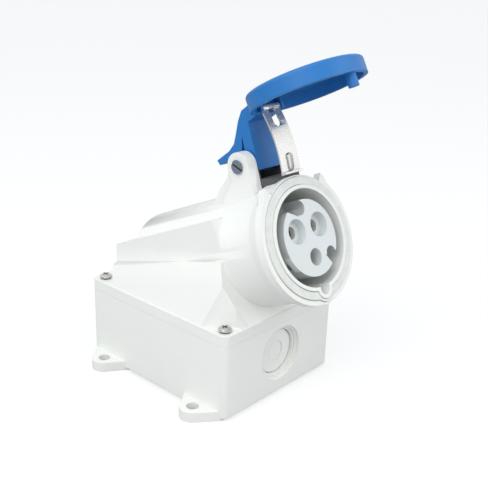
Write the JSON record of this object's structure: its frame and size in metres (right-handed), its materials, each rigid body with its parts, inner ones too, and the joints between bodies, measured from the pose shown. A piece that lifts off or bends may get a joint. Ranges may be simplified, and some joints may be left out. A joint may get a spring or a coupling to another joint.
{
  "type": "industrial wall socket",
  "caption": "Surface-mounted 16 A three-pin industrial wall socket: off-white box and angled hood, blue spring lid held open by a steel stay.",
  "frame": {"origin": "centre of the rectangle of four fixing holes, on the plane of the wall", "axes": "+Z out of the wall, -Y the side the socket's mouth leans to, +X to the right when looking into the mouth"},
  "size_m": [0.1026, 0.127, 0.1665],
  "materials": {
    "white_plastic": "moulded, light satin",
    "insert_plastic": "moulded, satin, bluish white",
    "blue_plastic": "moulded, light satin",
    "dark_plastic": "moulded",
    "dark_rubber": "dull",
    "pale_rubber": "dull",
    "brass": "turned",
    "screw_steel": "zinc plated",
    "spring_steel": "polished stainless"
  },
  "bodies": {
    "root": {"base_box": "white_plastic", "cover": "white_plastic", "cover_gasket": "dark_rubber", "mouth_gasket": "pale_rubber", "contact_carrier": "insert_plastic", "carrier_clamp": "dark_plastic", "carrier_plate": "dark_plastic", "live_contact": "brass", "neutral_contact": "brass", "earth_contact": "brass", "sleeve_springs": "spring_steel", "terminal_screws": "screw_steel", "carrier_screws": "screw_steel", "cover_screws": "screw_steel", "screw_seals": "dark_rubber", "threaded_inserts": "brass", "hinge_pin": "screw_steel", "pin_clip": "spring_steel", "hinge_spring": "spring_steel", "hinge_pad": "dark_rubber"},
    "lid": {"lid": "blue_plastic", "stay_pin": "screw_steel"},
    "stay": {"stay": "spring_steel"}
  },
  "joints": [
    {"name": "lid_hinge", "type": "hinge", "parent": "root", "child": "lid", "pos_m": [0, -0.02882, 0.11345], "axis": [1, 0, 0], "range_deg": [0, 94], "deforming": ["hinge_spring"]},
    {"name": "stay_fold", "type": "hinge", "parent": "lid", "child": "stay", "pos_m": [0, -0.03314, 0.13919], "axis": [1, 0, 0], "range_deg": [-90, 0]}
  ],
  "couplings": [
    {"joint": "stay_fold", "follows": "lid_hinge", "ratio": -0.9574}
  ]
}
